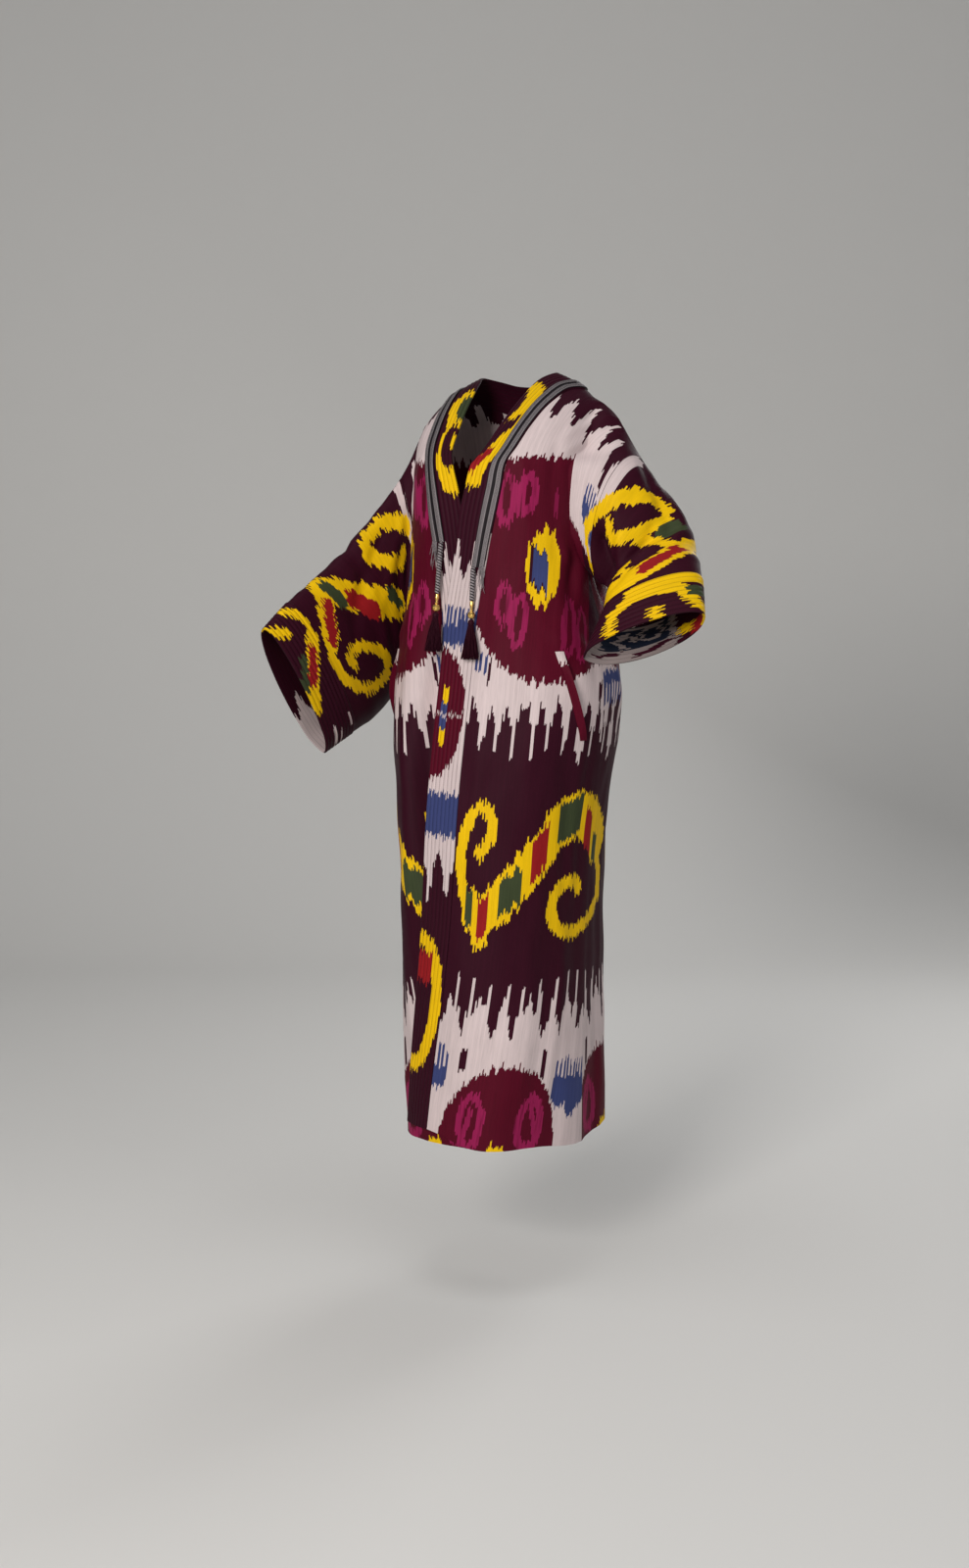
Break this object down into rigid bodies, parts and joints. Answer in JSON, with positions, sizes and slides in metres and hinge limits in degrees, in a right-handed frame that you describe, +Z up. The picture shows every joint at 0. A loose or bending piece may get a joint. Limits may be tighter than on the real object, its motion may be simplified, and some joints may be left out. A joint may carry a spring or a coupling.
{
  "type": "open-fronted ikat coat",
  "caption": "Open-fronted robe with wide quilted-cuff sleeves, a quilted edge band, metal braid ending in tassels and slanted pockets, its hollow form held as worn.",
  "frame": {"origin": "inside the neck opening, on the middle plane, midway between the shoulder lines' neck ends and 32 mm below their top: the point a hanger or a neck form holds the coat by", "axes": "+Z up; the coat's front faces -Y; +X is the wearer's left"},
  "size_m": [0.684, 0.5119, 1.3044],
  "materials": {
    "ikat_cloth": "soft silk and cotton weave with a light sheen, in aubergine, dark red, white, yellow and blue ikat",
    "trim_cloth": "dark red cloth",
    "metal_braid": "silver thread woven with black",
    "gold": "polished gold-coloured metal",
    "tassel_silk": "very dark silk threads"
  },
  "bodies": {
    "root": {"panel_left": "ikat_cloth", "panel_right": "ikat_cloth", "sleeve_left": "ikat_cloth", "sleeve_right": "ikat_cloth", "cuff_left": "ikat_cloth", "cuff_right": "ikat_cloth", "band_left": "ikat_cloth", "band_right": "ikat_cloth", "pocket_bag_left": "ikat_cloth", "pocket_bag_right": "ikat_cloth", "pocket_welt_left": "trim_cloth", "pocket_welt_right": "trim_cloth", "braid_left": "metal_braid", "braid_right": "metal_braid", "cord_left": "metal_braid", "cord_right": "metal_braid", "beads_left": "gold", "beads_right": "gold", "tassel_left": "tassel_silk", "tassel_right": "tassel_silk"}
  },
  "joints": []
}
